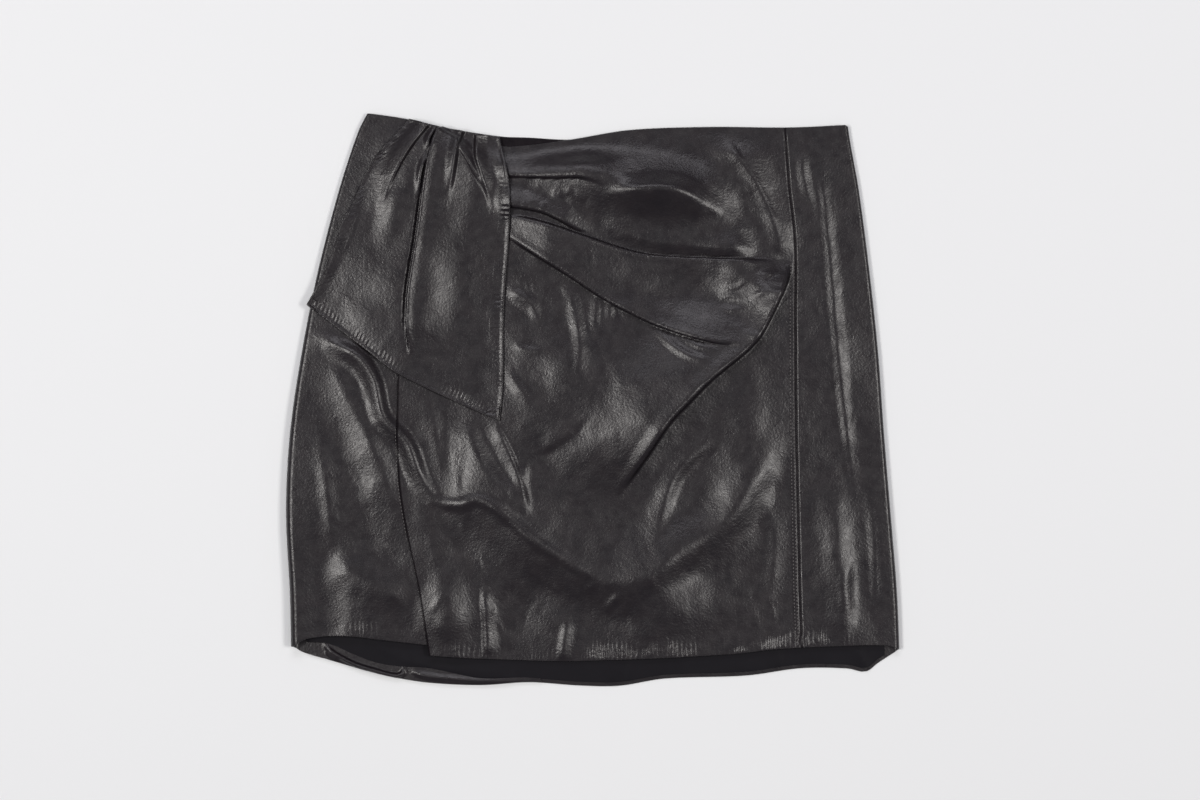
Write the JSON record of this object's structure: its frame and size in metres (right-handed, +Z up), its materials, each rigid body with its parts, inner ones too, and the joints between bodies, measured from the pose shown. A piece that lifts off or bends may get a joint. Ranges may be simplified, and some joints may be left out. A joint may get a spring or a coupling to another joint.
{
  "type": "leather mini skirt laid flat",
  "caption": "Black leather mini skirt lying flat on its back, with a gathered sash flap, pleated side drape, stitched side seam and open hem.",
  "frame": {"origin": "on the surface that the skirt lies on, under the middle of its outline", "axes": "+X across the front to the viewer's right, +Y from hem to waist, +Z up from the surface"},
  "size_m": [0.471, 0.4397, 0.0232],
  "materials": {
    "leather": "soft semi-gloss nappa",
    "lining": "satin weave"
  },
  "bodies": {
    "root": {"back_panel": "leather", "back_lining": "lining", "back_hem_facing": "leather", "back_waist_facing": "leather", "left_front_panel": "leather", "front_panel": "leather", "right_side_panel": "leather", "sash_flap": "leather"}
  },
  "joints": []
}
